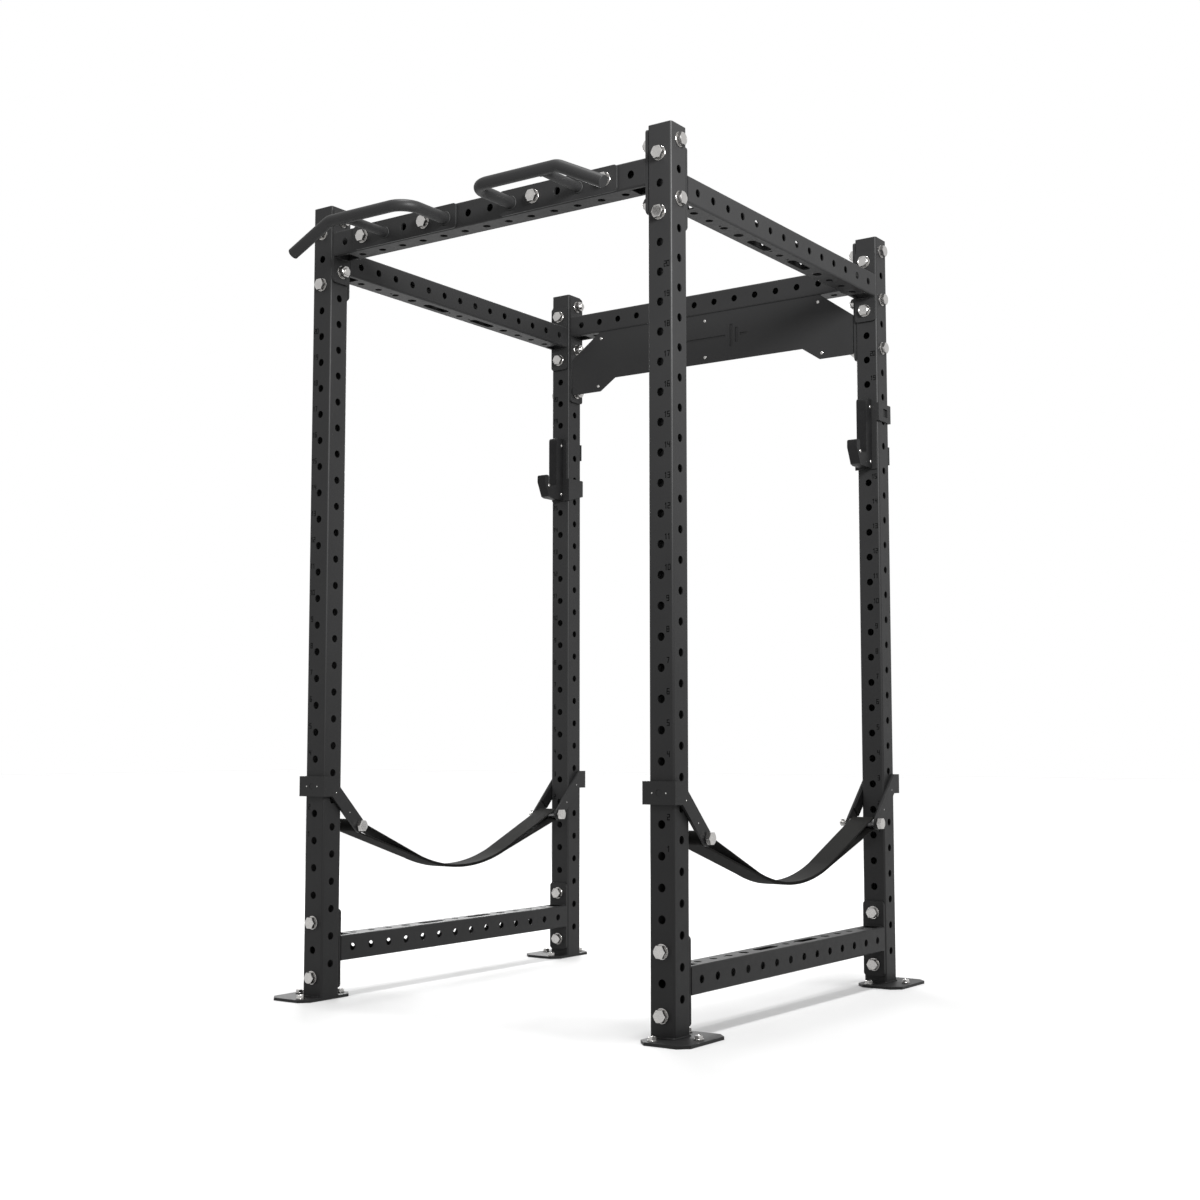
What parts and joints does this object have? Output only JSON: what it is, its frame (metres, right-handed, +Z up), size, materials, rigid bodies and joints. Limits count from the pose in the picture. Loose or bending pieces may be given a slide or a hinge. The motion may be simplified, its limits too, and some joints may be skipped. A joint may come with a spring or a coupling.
{
  "type": "power cage",
  "caption": "Upright strength-training cage of drilled square tube with bar hooks, webbing safety straps, pull-up grips and a rear header plate.",
  "frame": {"origin": "on the floor, below the middle of the whole outline", "axes": "+X to the right seen from the entrance, +Y from the entrance to the rear, +Z up"},
  "size_m": [1.358, 1.473, 2.2375],
  "materials": {
    "powder_coat": "matt black powder coat with a fine texture",
    "zinc": "bright zinc plated steel",
    "sleeve": "plain grey turned tube",
    "liner": "black UHMW polyethylene, machined",
    "cap": "black moulded plastic",
    "webbing": "dark grey woven polyester webbing"
  },
  "bodies": {
    "root": {"front_beam": "powder_coat", "rear_beam": "powder_coat", "header_plate": "powder_coat", "upright_fl": "powder_coat", "upright_fr": "powder_coat", "upright_rl": "powder_coat", "upright_rr": "powder_coat", "foot_fl": "powder_coat", "foot_fr": "powder_coat", "foot_rl": "powder_coat", "foot_rr": "powder_coat", "side_beam_top_l": "powder_coat", "side_beam_top_r": "powder_coat", "side_beam_low_l": "powder_coat", "side_beam_low_r": "powder_coat", "grip_l": "powder_coat", "grip_r": "powder_coat", "anchor_bolts": "zinc", "anchor_washers": "zinc", "header_screws": "zinc", "frame_bolts": "zinc", "frame_washers": "zinc", "frame_nuts": "zinc", "grip_bolts": "zinc", "grip_washers": "zinc", "grip_nuts": "zinc", "end_caps": "cap", "strap_l": "webbing", "strap_r": "webbing"},
    "hook_l": {"hook_plate_l": "powder_coat", "hook_liner_l": "liner", "hook_pin_l": "zinc", "hook_screws_l": "zinc"},
    "hook_r": {"hook_plate_r": "powder_coat", "hook_liner_r": "liner", "hook_pin_r": "zinc", "hook_screws_r": "zinc"},
    "bracket_fl": {"strap_bracket_fl": "powder_coat", "strap_pad_fl": "liner", "strap_screws_fl": "zinc", "strap_sleeve_fl": "sleeve", "strap_bolt_fl": "zinc"},
    "bracket_fr": {"strap_bracket_fr": "powder_coat", "strap_pad_fr": "liner", "strap_screws_fr": "zinc", "strap_sleeve_fr": "sleeve", "strap_bolt_fr": "zinc"},
    "bracket_rl": {"strap_bracket_rl": "powder_coat", "strap_pad_rl": "liner", "strap_screws_rl": "zinc", "strap_sleeve_rl": "sleeve", "strap_bolt_rl": "zinc"},
    "bracket_rr": {"strap_bracket_rr": "powder_coat", "strap_pad_rr": "liner", "strap_screws_rr": "zinc", "strap_sleeve_rr": "sleeve", "strap_bolt_rr": "zinc"}
  },
  "joints": [
    {"name": "hook_l_turn", "type": "hinge", "parent": "root", "child": "hook_l", "pos_m": [-0.574, 0.63653, 1.6355], "axis": [0, -1, 0], "range_deg": [0, 90]},
    {"name": "hook_r_turn", "type": "hinge", "parent": "root", "child": "hook_r", "pos_m": [0.574, 0.63653, 1.6355], "axis": [0, 1, 0], "range_deg": [0, 90]},
    {"name": "bracket_fl_pull", "type": "slide", "parent": "root", "child": "bracket_fl", "axis": [0, -1, 0], "range_m": [0, 0.02], "deforming": ["strap_l"]},
    {"name": "bracket_fr_pull", "type": "slide", "parent": "root", "child": "bracket_fr", "axis": [0, -1, 0], "range_m": [0, 0.02], "deforming": ["strap_r"]},
    {"name": "bracket_rl_pull", "type": "slide", "parent": "root", "child": "bracket_rl", "axis": [0, 1, 0], "range_m": [0, 0.02], "deforming": ["strap_l"]},
    {"name": "bracket_rr_pull", "type": "slide", "parent": "root", "child": "bracket_rr", "axis": [0, 1, 0], "range_m": [0, 0.02], "deforming": ["strap_r"]}
  ]
}
